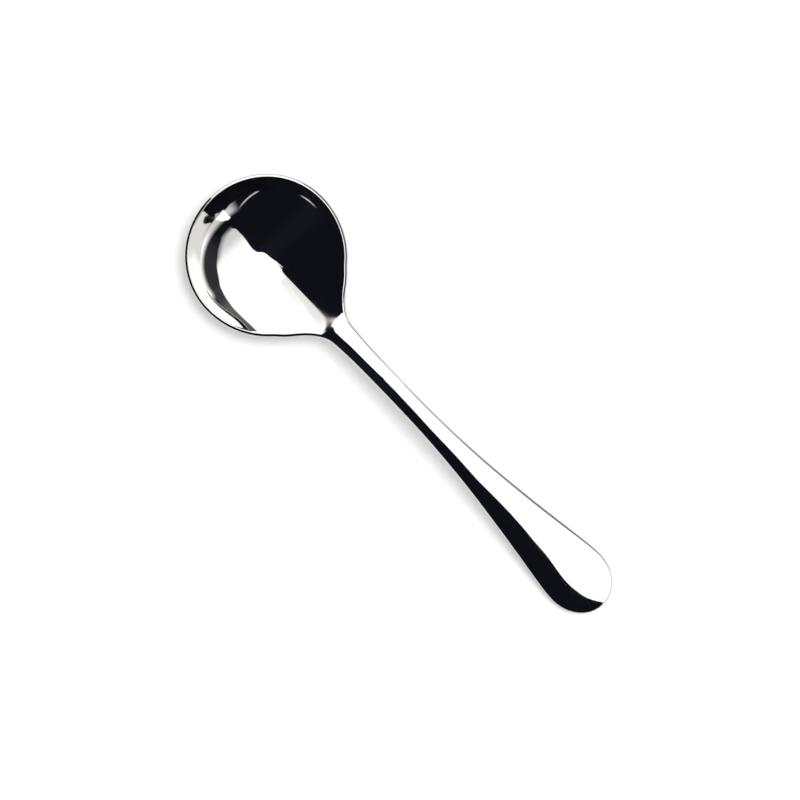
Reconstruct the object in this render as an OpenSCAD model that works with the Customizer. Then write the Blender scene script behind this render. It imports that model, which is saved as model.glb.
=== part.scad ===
// Round-bowl soup spoon in polished stainless steel.
// One blank of steel, drawn as its two regions: the pressed bowl and the arched handle,
// which share the face across the neck.
// X runs from the bowl's tip to the handle's end, Z is up and the table is at zero.
// A reach is a distance along X from the bowl's tip.

/* [Overall] */
// Length from the bowl's tip to the handle's end
overall_length = 165; // [150:1:185]

/* [Bowl] */
// Greatest width of the bowl over its rim
bowl_width = 47.3; // [43:0.1:52]
// Reach of the bowl's widest point, where the bowl is also deepest
bowl_front_reach = 22.8; // [20:0.1:25]
// Length of the bowl's rounded back, from the widest point
bowl_back_length = 24.6; // [23:0.1:26]
// Height of the rim above the table at the tip
rim_tip_height = 14; // [12.5:0.1:15.5]
// Height of the rim above the table at the bowl's widest point
rim_side_height = 12.2; // [10.8:0.1:13.6]
// Height of the rim above the table where the neck begins
rim_neck_height = 12.9; // [11.5:0.1:14.2]
// Width of the rim, seen from above
rim_width = 0.9; // [0.8:0.05:1.3]
// Fall of the rim's top towards the outside, in degrees
rim_slope = 36; // [20:1:42]
// Height of the rim's outer face
rim_thickness = 1.6; // [1.2:0.05:2]
// Radius of the rounding at the rim's outer edge
rim_rounding = 0.8; // [0.5:0.05:1.1]
// Thickness of the steel at the bottom of the bowl
floor_thickness = 1.2; // [0.9:0.05:1.8]
// Lean of the bowl's wall at the rim, from the horizontal, in degrees
wall_angle = 55; // [46:1:60]
// Diameter of the flat spot that the bowl rests on
rest_diameter = 7; // [4:0.5:10]

/* [Neck] */
// Reach of the ridge where the bowl's hollow ends and the neck begins
ridge_reach = 51; // [50.5:0.1:52]
// Reach of the face that the bowl and the handle share
joint_reach = 53.1; // [52.6:0.1:54]
// Width of the neck at the shared face
joint_width = 9; // [7.8:0.1:10.3]
// Height of the neck's top at the shared face
neck_height = 13.7; // [13.2:0.1:15.2]
// Thickness of the neck at the shared face
neck_thickness = 3.2; // [2.6:0.1:4]
// Rise of the neck's crowned top over its edges
neck_crown = 0.6; // [0.2:0.05:0.8]
// Rise of the edges over the neck's rounded underside
neck_belly = 0.5; // [0.2:0.05:0.8]
// Radius of the rounding along the neck's edges
neck_rounding = 1.4; // [0.9:0.05:1.6]

/* [Handle] */
// Width of the stem where it is narrowest
stem_width = 6.7; // [5.8:0.1:7.7]
// Thickness of the stem at the top of the arch
stem_thickness = 3; // [2.4:0.1:3.8]
// Rise of the stem's crowned top over its edges
stem_crown = 0.7; // [0.3:0.05:0.9]
// Rise of the edges over the stem's rounded underside
stem_belly = 0.5; // [0.2:0.05:0.8]
// Radius of the rounding along the stem's edges
stem_rounding = 1.3; // [0.8:0.05:1.5]
// Height of the arch's top above the table
arch_height = 18.4; // [16:0.1:22]
// Greatest width of the handle's rounded end
end_width = 19.6; // [15:0.1:24]
// Length of the handle's end that is rounded, from its widest point
end_round_length = 11.5; // [8:0.1:14]
// Thickness of the handle at its end
end_thickness = 2; // [1.6:0.1:2.6]
// Rise of the end's crowned top over its edge
end_crown = 0.85; // [0.3:0.05:0.9]
// Rise of the edge over the end's underside
end_belly = 0.15; // [0.05:0.05:0.3]
// Radius of the rounding round the handle's end
end_rounding = 0.6; // [0.3:0.05:0.9]

/* [Hidden] */

// Reaches and half widths that the outline follows
bowl_half = bowl_width / 2;
joint_half = joint_width / 2;
stem_half = stem_width / 2;
end_half = end_width / 2;
end_reach = overall_length - end_round_length;
handle_run = end_reach - joint_reach;
arch_run = overall_length - joint_reach;
// Share of the back's length at which the outline leaves its ellipse
flare_share = 0.757;
flare_angle = acos(flare_share);
flare_reach = bowl_front_reach + bowl_back_length * flare_share;
flare_half = bowl_half * sqrt(1 - flare_share * flare_share);
flare_slope = -flare_half / bowl_back_length * flare_share / (1 - flare_share * flare_share);

// Places along the flare and their half widths, as shares from the flare to the joint
flare_shares = [[0.25, 0.74], [0.5, 0.42], [0.75, 0.16]];
// Places along the handle, and half widths as shares from the joint's to the stem's
neck_shares = [[0.042, 0.63], [0.088, 0.87], [0.146, 1]];
// Places along the handle, and half widths as shares from the stem's to the end's
blade_shares = [
    [0.325, 0], [0.407, 0.035], [0.494, 0.11], [0.582, 0.218],
    [0.668, 0.36], [0.756, 0.527], [0.843, 0.711], [0.93, 0.905]];
// Places along the arch, and heights as shares from the neck's to the arch's top
rise_shares = [[0.075, 0.43], [0.151, 0.76]];
// Place of the arch's top along the handle
arch_share = 0.28;
// Places along the arch, and heights as shares from the arch's top to the end's
fall_shares = [[0.47, 0.12], [0.643, 0.36], [0.866, 0.78]];

// Power by which the neck's and the handle's tops fall from the middle to their edges
crown_power = 3;
// Power by which their undersides rise from the middle to their edges
belly_power = 2;
// Share of an edge's rounding that lies inside the outline where the top meets it
edge_share = 0.7;
// Numbers of steps round the bowl, along the handle and round an edge
flare_steps = 11;
back_steps = 9;
front_steps = 16;
inner_rings = 13;
outer_rings = 11;
edge_steps = 8;
top_columns = 8;
stem_steps = 30;
end_steps = 12;
// Power by which the hollow's rings grow from an ellipse into the real outline
spread_power = 3;
// Share by which the bowl's back is filled towards the neck, inside and underneath, and its power
ramp_share = 1.25;
ramp_power = 3;
// Angles from the neck between which that filling fades out
ramp_angle = 80;
ramp_core_angle = 30;
// Share by which the bowl's underside is filled further at the neck, and its power
heel_share = 1.35;
heel_power = 4;
// Angles from the neck between which the heel fades out
heel_angle = 25;
heel_core_angle = 8;

arch_reach = joint_reach + arch_run * arch_share;
tail_reach = overall_length - end_rounding;
tail_height = end_thickness - end_belly * pow((tail_reach - end_reach) / end_round_length, 2);
wall_sine = sin(wall_angle);
wall_cosine = cos(wall_angle);

half_width_stations = concat(
    [[flare_reach, flare_half]],
    [for (s = flare_shares)
        [flare_reach + (joint_reach - flare_reach) * s[0], joint_half + (flare_half - joint_half) * s[1]]],
    [[joint_reach, joint_half]],
    [for (s = neck_shares)
        [joint_reach + handle_run * s[0], joint_half + (stem_half - joint_half) * s[1]]],
    [for (s = blade_shares)
        [joint_reach + handle_run * s[0], stem_half + (end_half - stem_half) * s[1]]],
    [[end_reach, end_half]]);

top_stations = concat(
    [[ridge_reach, rim_neck_height], [joint_reach, neck_height]],
    [for (s = rise_shares)
        [joint_reach + arch_run * s[0], neck_height + (arch_height - neck_height) * s[1]]],
    [[arch_reach, arch_height]],
    [for (s = fall_shares)
        [joint_reach + arch_run * s[0], arch_height + (tail_height - arch_height) * s[1]]],
    [[tail_reach, tail_height]]);

rim_stations = [
    [0, rim_tip_height],
    [bowl_front_reach, rim_side_height],
    [ridge_reach, rim_neck_height],
    [joint_reach, neck_height - neck_crown]];

// A smooth step from 0 to 1
function ease(t) = let (c = max(0, min(1, t))) c * c * (3 - 2 * c);

// Slope between two neighbouring stations
function secant(st, i) = (st[i + 1][1] - st[i][1]) / (st[i + 1][0] - st[i][0]);

// Slope at a station, level wherever the curve turns
function station_slope(st, i, first) =
    i == 0 ? first
    : i == len(st) - 1 ? secant(st, i - 1)
    : let (a = secant(st, i - 1), b = secant(st, i)) a * b <= 0 ? 0 : 2 * a * b / (a + b);

// Index of the stretch of stations that holds x
function stretch(st, x, i = 0) = i >= len(st) - 2 || x < st[i + 1][0] ? i : stretch(st, x, i + 1);

// Value at x of the smooth curve through the stations
function curve(st, x, first, last) =
    let (
        i = stretch(st, x),
        run = st[i + 1][0] - st[i][0],
        t = (x - st[i][0]) / run,
        a = station_slope(st, i, first),
        b = i == len(st) - 2 ? last : station_slope(st, i + 1, first)
    )
    st[i][1] * (1 + 2 * t) * (1 - t) * (1 - t) + run * a * t * (1 - t) * (1 - t)
    + st[i + 1][1] * t * t * (3 - 2 * t) + run * b * t * t * (t - 1);

// Value at x of three sizes held at the joint, the arch and the end
function along_handle(x, at_joint, at_arch, at_end) =
    x < arch_reach
        ? at_joint + (at_arch - at_joint) * ease((x - joint_reach) / (arch_reach - joint_reach))
        : at_arch + (at_end - at_arch) * ease((x - arch_reach) / (end_reach - arch_reach));

// Half width of the outline at a reach
function half_width(x) =
    x < bowl_front_reach ? bowl_half * sqrt(max(0, 1 - pow(1 - x / bowl_front_reach, 2)))
    : x < flare_reach ? bowl_half * sqrt(1 - pow((x - bowl_front_reach) / bowl_back_length, 2))
    : x < end_reach ? curve(half_width_stations, x, flare_slope, 0)
    : end_half * sqrt(max(0, 1 - pow((x - end_reach) / end_round_length, 2)));

// Height of the top along the middle, from the ridge to the end
function top_line(x) =
    curve(top_stations, x, secant(top_stations, 0), secant(top_stations, len(top_stations) - 2));

// Height of the rim, and of the neck's edges as far as the joint
function rim_line(x) =
    curve(rim_stations, x, secant(rim_stations, 0), secant(rim_stations, len(rim_stations) - 2));

// How far a point lies from the middle towards the outline, from 0 to 1
function crown_place(x, y) =
    x < end_reach ? min(1, abs(y) / half_width(x))
    : min(1, sqrt(pow(y / end_half, 2) + pow((x - end_reach) / end_round_length, 2)));

function top_crown(x) =
    x < joint_reach ? top_line(x) - rim_line(x)
    : along_handle(x, neck_crown, stem_crown, end_crown);
function belly(x) = along_handle(x, neck_belly, stem_belly, end_belly);
function thickness(x) = along_handle(x, neck_thickness, stem_thickness, end_thickness);
function top_height(x, y) =
    x < ridge_reach ? rim_line(x) : top_line(x) - top_crown(x) * pow(crown_place(x, y), crown_power);
function under_height(x, y) =
    top_line(x) - thickness(x) + belly(x) * pow(crown_place(x, y), belly_power);

// Growth of the edge from the rim's shape to the neck's, from 0 to 1
function edge_growth(x) = ease((x - flare_reach) / (joint_reach - flare_reach));
function edge_rounding(x) =
    x < joint_reach ? rim_rounding + (neck_rounding - rim_rounding) * edge_growth(x)
    : along_handle(x, neck_rounding, stem_rounding, end_rounding);

// Angle by which a surface that bulges by so much falls away where the edge begins
function lean(x, bulge, power, rim_angle) =
    let (
        half = half_width(min(max(x, joint_reach), end_reach)),
        share = 1 - edge_share * edge_rounding(max(x, joint_reach)) / half
    ) rim_angle + (atan(power * bulge * pow(share, power - 1) / half) - rim_angle) * edge_growth(x);
function top_lean(x) = lean(x, along_handle(x, neck_crown, stem_crown, end_crown), crown_power, rim_slope);
function under_lean(x) = lean(x, belly(x), belly_power, wall_angle);

// Fall of the rim's top from its inner ridge to its outer edge
function rim_fall(x) =
    (rim_width - rim_rounding * (1 - sin(rim_slope))) * tan(rim_slope) * (1 - edge_growth(x));

// Height of the rim's lower edge, down to the neck's
function rim_underside(x, y) =
    let (
        rise = neck_belly * pow(crown_place(max(x, flare_reach), y), belly_power),
        neck = neck_thickness - neck_crown - rise
    )
    rim_line(x) - rim_thickness - (neck - rim_thickness) * edge_growth(x);

// Outward normal at place i of a row of outline points, square to X at the joint; turn is 1
// for a row with the outside on its right and -1 for one with the outside on its left
function outward(row, i, turn) =
    row[i][0] == joint_reach ? [0, sign(row[i][1])]
    : let (d = row[i + 1] - row[i - 1]) [d[1], -d[0]] * turn / norm(d);

// Point where the top or the underside, leaning by so much, meets the edge of an outline point
function edge_start(p, n, lean) = p - n * edge_rounding(p[0]) * (1 - sin(lean));

// The rounded edge at an outline point, from its top to its underside
function edge_points(p, n, first, last, z_top, z_under) =
    [for (m = [0 : edge_steps])
        let (
            angle = first + (180 - first - last) * m / edge_steps,
            q = edge_start(p, n, angle)
        ) [q[0], q[1],
            z_top + (z_under - z_top) * (cos(first) - cos(angle)) / (cos(first) + cos(last))]];

// Places every point of a list so that the middle of the length is over the origin
function centred(points) = [for (p = points) p - [overall_length / 2, 0, 0]];

// Two triangles for each cell between two rows of the same number of points
function strip(a, b) =
    [for (k = [0 : len(a) - 2]) each [[a[k], b[k], b[k + 1]], [a[k], b[k + 1], a[k + 1]]]];

// Leaves out the triangles that have lost a side
function sound(faces) =
    [for (f = faces) if (f[0] != f[1] && f[1] != f[2] && f[2] != f[0]) f];

// The bowl: spokes from its deepest point out over the rim and back underneath

bowl_centre = [bowl_front_reach, 0];

bowl_side_reaches = concat(
    [for (i = [0 : flare_steps - 1]) joint_reach + (flare_reach - joint_reach) * i / flare_steps],
    [for (i = [0 : back_steps - 1])
        bowl_front_reach + bowl_back_length * cos(flare_angle + (90 - flare_angle) * i / back_steps)],
    [for (i = [0 : front_steps - 1]) bowl_front_reach * (1 - sin(90 * i / front_steps))]);

bowl_outline = concat(
    [for (x = bowl_side_reaches) [x, half_width(x)]],
    [[0, 0]],
    [for (i = [len(bowl_side_reaches) - 1 : -1 : 0]) let (x = bowl_side_reaches[i]) [x, -half_width(x)]]);

// Factor that brings a point onto the ridge along its spoke, where it lies past the ridge
function ridge_factor(p) =
    p[0] > ridge_reach ? (ridge_reach - bowl_front_reach) / (p[0] - bowl_front_reach) : 1;

// Distance from the bowl's centre to its plain ellipse in the direction of d
function ellipse_reach(d, inset) =
    let (
        u = d / norm(d),
        a = (u[0] < 0 ? bowl_front_reach : bowl_back_length) - inset,
        b = bowl_half - inset
    ) 1 / sqrt(pow(u[0] / a, 2) + pow(u[1] / b, 2));

// Distance from the centre at share t of a spoke that ends at distance r
function spoke_reach(t, ellipse, r) = t * (ellipse + (r - ellipse) * pow(t, spread_power));

// Rise of a round wall at share t of its radius, from 0 to 1
function wall_rise(t) = (1 - sqrt(1 - pow(wall_sine * t, 2))) / (1 - wall_cosine);

// Rise added at share t of a spoke in direction d by a filling that fades out between two angles
function filling(d, t, share, power, angle, core) =
    share * ease((angle - abs(atan2(d[1], d[0]))) / (angle - core)) * pow(t, power) * (1 - t);
function ramp(d, t) = filling(d, t, ramp_share, ramp_power, ramp_angle, ramp_core_angle);
function heel(d, t) = filling(d, t, heel_share, heel_power, heel_angle, heel_core_angle);

// One spoke: the hollow, the rounded edge and the underside
function bowl_spoke(inner, inner_z, edge) =
    let (
        d = inner - bowl_centre,
        u = d / norm(d),
        e = ellipse_reach(d, rim_width),
        last = edge[len(edge) - 1],
        g = [last[0], last[1]] - bowl_centre,
        w = g / norm(g),
        f = ellipse_reach(g, rim_rounding * (1 - sin(wall_angle))),
        rest = rest_diameter / 2 / norm(g)
    )
    concat(
        [for (k = [1 : inner_rings])
            let (t = k / inner_rings, q = bowl_centre + u * spoke_reach(t, e, norm(d)))
            [q[0], q[1], floor_thickness + (inner_z - floor_thickness) * (wall_rise(t) + ramp(d, t))]],
        edge,
        [for (k = [1 : outer_rings])
            let (
                t = 1 - (1 - rest) * k / outer_rings,
                q = bowl_centre + w * (k == outer_rings ? rest_diameter / 2 : spoke_reach(t, f, norm(g))),
                base = wall_rise(rest),
                rise = (wall_rise(t) - base) / (1 - base) + ramp(g, t) + heel(g, t)
            ) [q[0], q[1], k == outer_rings ? 0 : last[2] * rise]]);

// Spokes over the rim, from the joint round the tip and back to the joint
rim_spokes = [for (i = [0 : len(bowl_outline) - 1])
    let (
        p = bowl_outline[i],
        n = outward(bowl_outline, i, 1),
        first = top_lean(p[0]),
        last = under_lean(p[0]),
        top = edge_start(p, n, first),
        low = edge_start(p, n, last),
        raw = p - n * rim_width,
        inner = bowl_centre + (raw - bowl_centre) * ridge_factor(raw),
        z_top = top_height(top[0], top[1]) - rim_fall(p[0]),
        z_under = rim_underside(p[0], low[1])
    ) bowl_spoke(inner, top_height(inner[0], inner[1]), edge_points(p, n, first, last, z_top, z_under))];

// Spokes that end on the shared face, between the two last spokes over the rim
joint_corner = [joint_reach, joint_half];
joint_top = edge_start(joint_corner, [0, 1], top_lean(joint_reach))[1];
joint_low = edge_start(joint_corner, [0, 1], under_lean(joint_reach))[1];
neck_spokes = [for (j = [1 : top_columns - 1])
    let (
        side = 2 * j / top_columns - 1,
        top = [joint_reach, side * joint_top, top_height(joint_reach, side * joint_top)],
        low = [joint_reach, side * joint_low, under_height(joint_reach, side * joint_low)],
        p = [joint_reach, top[1]],
        inner = bowl_centre + (p - bowl_centre) * ridge_factor(p)
    ) bowl_spoke(
        inner, top_height(inner[0], inner[1]),
        [for (m = [0 : edge_steps]) top + (low - top) * m / edge_steps])];

bowl_spokes = concat(rim_spokes, neck_spokes);
spoke_points = len(bowl_spokes[0]);
bowl_points = concat(
    [[bowl_front_reach, 0, floor_thickness]],
    [for (s = bowl_spokes) each s]);

// Indices of a spoke's points, from the bottom of the hollow to the rest
function spoke_row(j) =
    let (base = 1 + (j % len(bowl_spokes)) * spoke_points)
    concat([0], [for (k = [0 : spoke_points - 1]) base + k]);

bowl_faces = concat(
    sound([for (j = [0 : len(bowl_spokes) - 1]) each strip(spoke_row(j), spoke_row(j + 1))]),
    [[for (j = [0 : len(bowl_spokes) - 1]) (j + 1) * spoke_points]]);

// The handle: loops round its section, from the shared face to a single edge at the end

handle_side_reaches = concat(
    [for (i = [0 : stem_steps - 1]) joint_reach + handle_run * i / stem_steps],
    [for (i = [0 : end_steps]) end_reach + end_round_length * sin(90 * i / end_steps)]);

handle_outline = [for (x = handle_side_reaches) [x, half_width(x)]];

// One loop: the top, one edge, the underside and the other edge
function handle_loop(i) =
    let (
        p = handle_outline[i],
        last = i == len(handle_outline) - 1,
        n = last ? [1, 0] : outward(handle_outline, i, -1),
        first = top_lean(p[0]),
        under = under_lean(p[0]),
        t = edge_start(p, n, first),
        l = edge_start(p, n, under),
        edge = edge_points(p, n, first, under, top_height(t[0], t[1]), under_height(l[0], l[1])),
        mirrored = [for (q = edge) [q[0], -q[1], q[2]]]
    )
    last ? edge
    : concat(
        [for (j = [1 : top_columns - 1])
            let (y = t[1] * (2 * j / top_columns - 1)) [t[0], y, top_height(t[0], y)]],
        edge,
        [for (j = [top_columns - 1 : -1 : 1])
            let (y = l[1] * (2 * j / top_columns - 1)) [l[0], y, under_height(l[0], y)]],
        [for (m = [edge_steps : -1 : 0]) mirrored[m]]);

handle_loops = [for (i = [0 : len(handle_outline) - 1]) handle_loop(i)];
loop_points = len(handle_loops[0]);
handle_points = [for (l = handle_loops) each l];

// Indices of a loop's points, closed, with the last loop folded onto its single edge
function loop_row(i) =
    let (base = i * loop_points)
    i < len(handle_loops) - 1
        ? [for (k = [0 : loop_points]) base + k % loop_points]
        : concat(
            [for (j = [1 : top_columns - 1]) base],
            [for (m = [0 : edge_steps]) base + m],
            [for (j = [1 : top_columns - 1]) base + edge_steps],
            [for (m = [edge_steps : -1 : 0]) base + m],
            [base]);

handle_faces = concat(
    [[for (k = [loop_points - 1 : -1 : 0]) k]],
    sound([for (i = [0 : len(handle_loops) - 2]) each strip(loop_row(i + 1), loop_row(i))]));

// Bowl, pressed hollow with a rounded rim and a flat spot to rest on
module bowl() {
    color("lightslategray")
        polyhedron(points = centred(bowl_points), faces = bowl_faces);
}

// Handle, arched from the neck to a broad round end that rests on the table
module handle() {
    color("silver")
        polyhedron(points = centred(handle_points), faces = handle_faces);
}

bowl();
handle();
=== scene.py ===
import math

import bpy
import numpy as np
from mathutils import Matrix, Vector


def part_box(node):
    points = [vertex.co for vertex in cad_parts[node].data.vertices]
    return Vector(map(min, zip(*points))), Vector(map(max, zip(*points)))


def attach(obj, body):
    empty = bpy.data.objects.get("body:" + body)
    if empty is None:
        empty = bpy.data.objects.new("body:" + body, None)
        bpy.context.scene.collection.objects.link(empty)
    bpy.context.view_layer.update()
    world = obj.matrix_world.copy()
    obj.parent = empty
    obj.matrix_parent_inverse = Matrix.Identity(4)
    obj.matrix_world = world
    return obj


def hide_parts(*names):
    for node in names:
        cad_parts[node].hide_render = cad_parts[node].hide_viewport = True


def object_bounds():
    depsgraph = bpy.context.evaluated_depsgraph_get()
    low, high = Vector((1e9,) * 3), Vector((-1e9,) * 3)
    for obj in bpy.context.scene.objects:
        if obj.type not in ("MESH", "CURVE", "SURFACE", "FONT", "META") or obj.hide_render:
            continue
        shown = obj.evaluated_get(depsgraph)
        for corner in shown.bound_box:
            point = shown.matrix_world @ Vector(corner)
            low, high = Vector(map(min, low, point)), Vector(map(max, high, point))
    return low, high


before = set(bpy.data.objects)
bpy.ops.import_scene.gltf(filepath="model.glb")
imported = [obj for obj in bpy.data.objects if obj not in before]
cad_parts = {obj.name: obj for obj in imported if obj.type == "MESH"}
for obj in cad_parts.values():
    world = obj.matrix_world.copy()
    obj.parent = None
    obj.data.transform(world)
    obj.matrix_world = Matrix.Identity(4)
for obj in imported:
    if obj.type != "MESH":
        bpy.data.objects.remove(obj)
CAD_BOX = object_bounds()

bl_info = {
    "name": "Soup Spoon",
    "version": (1, 0, 0),
    "blender": (4, 5, 0),
    "location": "View3D > Sidebar > Spoon",
    "description": "A polished round-bowl soup spoon and the studio that it lies in",
    "category": "Add Mesh",
}

MM = 0.001
BODY = "root"

LOW, HIGH = CAD_BOX
BOWL_LOW, BOWL_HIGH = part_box("bowl")
HANDLE_LOW, HANDLE_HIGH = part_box("handle")

# Angles of the bowl in degrees: its wall where it meets the rim, and the rim's top
WALL_ANGLE = 55
RIM_SLOPE = 36

# Where the bowl's outline leaves its ellipse to flare into the neck, as a share of the bowl's back
FLARE_SHARE = 0.757

# Points of the outline, along the flare into the neck, the neck and the rest of the handle. Each has its
# share of the way along a stretch and its share of the change of width there.
FLARE_SHARES = [[0.25, 0.74], [0.5, 0.42], [0.75, 0.16]]
NECK_SHARES = [[0.042, 0.63], [0.088, 0.87], [0.146, 1]]
BLADE_SHARES = [
    [0.325, 0], [0.407, 0.035], [0.494, 0.11], [0.582, 0.218],
    [0.668, 0.36], [0.756, 0.527], [0.843, 0.711], [0.93, 0.905]]

# Points of the top's middle line in the same way, up to the arch's top and down from it, and at what share
# of the handle's length that is
RISE_SHARES = [[0.075, 0.43], [0.151, 0.76]]
ARCH_SHARE = 0.28
FALL_SHARES = [[0.47, 0.12], [0.643, 0.36], [0.866, 0.78]]

# How sharply the handle's top and underside bend towards their edges, and how far in from the outline
# the lean of the edge is taken, as a share of its rounding
CROWN_POWER = 3
BELLY_POWER = 2
EDGE_SHARE = 0.7

# How late on its way out a spoke leaves the bowl's ellipse for the flare and for the ridge's corners, and
# over how many spokes to each side the flare is smoothed to tell the two apart
SPREAD_POWER = 3
CORNER_POWER = 16
FLARE_SPOKES = 6

# What fills the bowl's back up to the neck, and what thickens its underside there. A filling is full
# within the core angle of the neck's direction and gone beyond the other angle, in degrees.
RAMP = {"share": 1.25, "power": 3, "angle": 80, "core_angle": 30}
HEEL = {"share": 1.35, "power": 4, "angle": 25, "core_angle": 8}

# How finely the spoon's sheets, the card and the tent are drawn
FLARE_STEPS = 40
BACK_STEPS = 52
FRONT_STEPS = 90
NECK_COLUMNS = 24
HOLLOW_RINGS = 60
CORNER_STEPS = 4
LAND_STEPS = 4
EDGE_STEPS = 14
UNDER_RINGS = 34
STEM_LOOPS = 200
END_LOOPS = 48
CARD_REACHES = 96
CARD_COLUMNS = 3
TENT_SEGMENTS = 64
TENT_RINGS = 32

# How close corners are when they are welded, and below what angle in degrees faces are shaded as one
WELD_DISTANCE = 0.002 * MM
SMOOTH_ANGLE = 40

# The steel's finish: the size of the patches of haze, the length and width of the hairlines, and how
# each noise turns to roughness
HAZE_SIZE = 9 * MM
HAIR_LENGTH = 14 * MM
HAIR_WIDTH = 0.35 * MM
HAZE = [("haze", 0.3, 0.75, 0.025, 0.055)]
HAIRLINES = [("hairs", 0.55, 0.75, 0, 0.03)]

# The photo's frame: its width in pixels, the size of a pixel and the level above the table where that
# size holds, the place in the middle, how far the spoon is turned, in degrees, and the camera's sensor
# in millimetres
PHOTO_WIDTH = 800
PIXEL_SIZE = 0.2908 * MM
PIXEL_LEVEL = 8 * MM
FRAME_MIDDLE = (-2.02 * MM, -1.17 * MM)
SPOON_TURN = 46.05
SENSOR_WIDTH = 36

# Seams on the tent, where its cloth turns from dark to white: one runs over the spoon, and the other on
# the spoon's bright side. A station's first number runs from 0 beyond the bowl to 1 beyond the handle's
# end. Its second is a share of the swing from side to side for the first seam, and a height for the other.
RIDGE_SWING = 0.25
RIDGE_SEAM = [
    (0.0, 0.508), (0.118, 0.508), (0.134, 0.493), (0.15, 0.41), (0.17, 0.34), (0.215, 0.32), (0.28, 0.39),
    (0.32, 0.43), (0.35, 0.46), (0.372, 0.52), (0.4, 0.72), (0.44, 0.87), (0.5, 0.92), (0.56, 0.89),
    (0.623, 0.828), (0.75, 0.784), (0.83, 0.79), (0.87, 0.96), (1.0, 0.96)]
FAR_SEAM = [
    (0.0, 0.14), (0.12, 0.155), (0.166, 0.2), (0.228, 0.265), (0.3, 0.345), (0.36, 0.41), (0.431, 0.465),
    (0.5, 0.527), (0.573, 0.56), (0.64, 0.58), (0.709, 0.6), (0.77, 0.6), (0.825, 0.6), (0.87, 0.57),
    (1.0, 0.57)]

# Fades on the tent's cloth. Each row has what it follows, where it starts and ends, and the values
# before and after. A value in brackets is a fade of its own. Seen from the middle, x runs from -1 beyond
# the bowl to 1 beyond the handle's end, and y from -1 on the dark side to 1 on the bright side.
WHITE_PANEL = [
    # It lies between the two seams, and its lower edge is grey towards the handle's end.
    ("past_ridge", -0.006, 0.006, 0, 1),
    ("in_panel", -0.02, 0.02, 0, 1),
    ("in_panel", 0, 0.13, [("x", 0.15, 0.4, 1, 0.4)], 1),
    # It dims from over the handle's middle on and ends beyond the handle's end. Beyond the bowl it is light
    # grey by the first seam.
    ("x", 0.12, 0.55, 1, 0.58),
    ("x", 0.66, 0.82, 1, 0),
    ("x", -0.84, -0.72, [("y", 0, 0.3, 0.72, 1)], 1)]
LOW_STRIP = [
    # It runs near the floor on the bright side, from beside the bowl to beyond the handle, where it dims.
    ("strip_height", 0.25, 0.43, 1, 0),
    ("y", -0.28, -0.05, 0, 1),
    ("x", -0.3, -0.1, 0, 1),
    ("x", 0.75, 0.95, 1, 0.55)]
THIN_SLIVER = [
    # A slit in the dark cloth beyond the handle's end, which shows in the bowl as a thin pale arc.
    ("on_sliver", 0, 1, 0, 1),
    ("y", -0.4, -0.2, 0.5, 0),
    ("x", 0.5, 0.7, 0, 1)]
DIM_CLOTH = [
    # Between the panel and the strip the cloth is dim rather than dark, above all beyond the bowl.
    ("y", 0.35, 0.8, 0, [("x", -0.6, -0.3, 0.1, 0.02)])]
CLOTH_STRENGTH = [
    # Over the bowl the cloth is lit more strongly.
    ("x", -0.2, -0.05, [("x", -0.6, -0.4, 1.7, 2.5)], 1.7)]

# What is added of y to a height for the low strip and for the sliver, and the sliver's height and half
# width
STRIP_LEAN = 0.17
SLIVER_LEAN = -0.586
SLIVER_HEIGHT = 0.508
SLIVER_HALF_WIDTH = 0.02

# The white card's two long edges in millimetres, as places along the frame and across it. The near edge
# draws the line between the handle's bright and dark halves. The slope is the near edge's at its end, and
# the strength is that of the card's light.
CARD_NEAR_EDGE = [
    (-13, -0.6), (-7, -0.5), (-2, -0.6), (2.5, -0.7), (7, -0.9), (11, -1.1), (20, -1.2), (28, -1.35),
    (32, -1.6), (37, -1.8), (41, -1.6), (46, -1.4), (55, -1.3), (60, -1.5), (65, -1.8), (69, -2.2),
    (74, -2.4), (78, -2.9), (82, -3.8), (85, -4.4), (89, -4.5), (93, -4.4), (98.5, -4.2), (102, -3.7),
    (106, -2.8), (128, 4)]
CARD_FAR_EDGE = [(-13, 3), (0, 7), (15, 11), (40, 16), (60, 20), (80, 25), (100, 29), (128, 31)]
CARD_END_SLOPE = 0.3
CARD_STRENGTH = 1.7

# What the floor adds where it is seen, and how bright the backdrop is where it isn't
FLOOR_GLOW = 0.15
UNSEEN_BACKDROP = 0.55


def linear(code):
    """The linear colour of an sRGB hex code, with an alpha of 1."""
    parts = [int(code[i:i + 2], 16) / 255 for i in (1, 3, 5)]
    return [c / 12.92 if c <= 0.04045 else ((c + 0.055) / 1.055) ** 2.4 for c in parts] + [1.0]


WHITE = linear("#ffffff")


def size_property(name, millimetres, description):
    """A length that a user may change, given in millimetres."""
    return bpy.props.FloatProperty(
        name=name, description=description, default=millimetres * MM, min=0, precision=5, unit="LENGTH")


def colour_property(name, code, description):
    """A colour that a user may change, given as a hex code."""
    return bpy.props.FloatVectorProperty(
        name=name, description=description, default=linear(code), size=4, min=0, max=1, subtype="COLOR")


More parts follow.
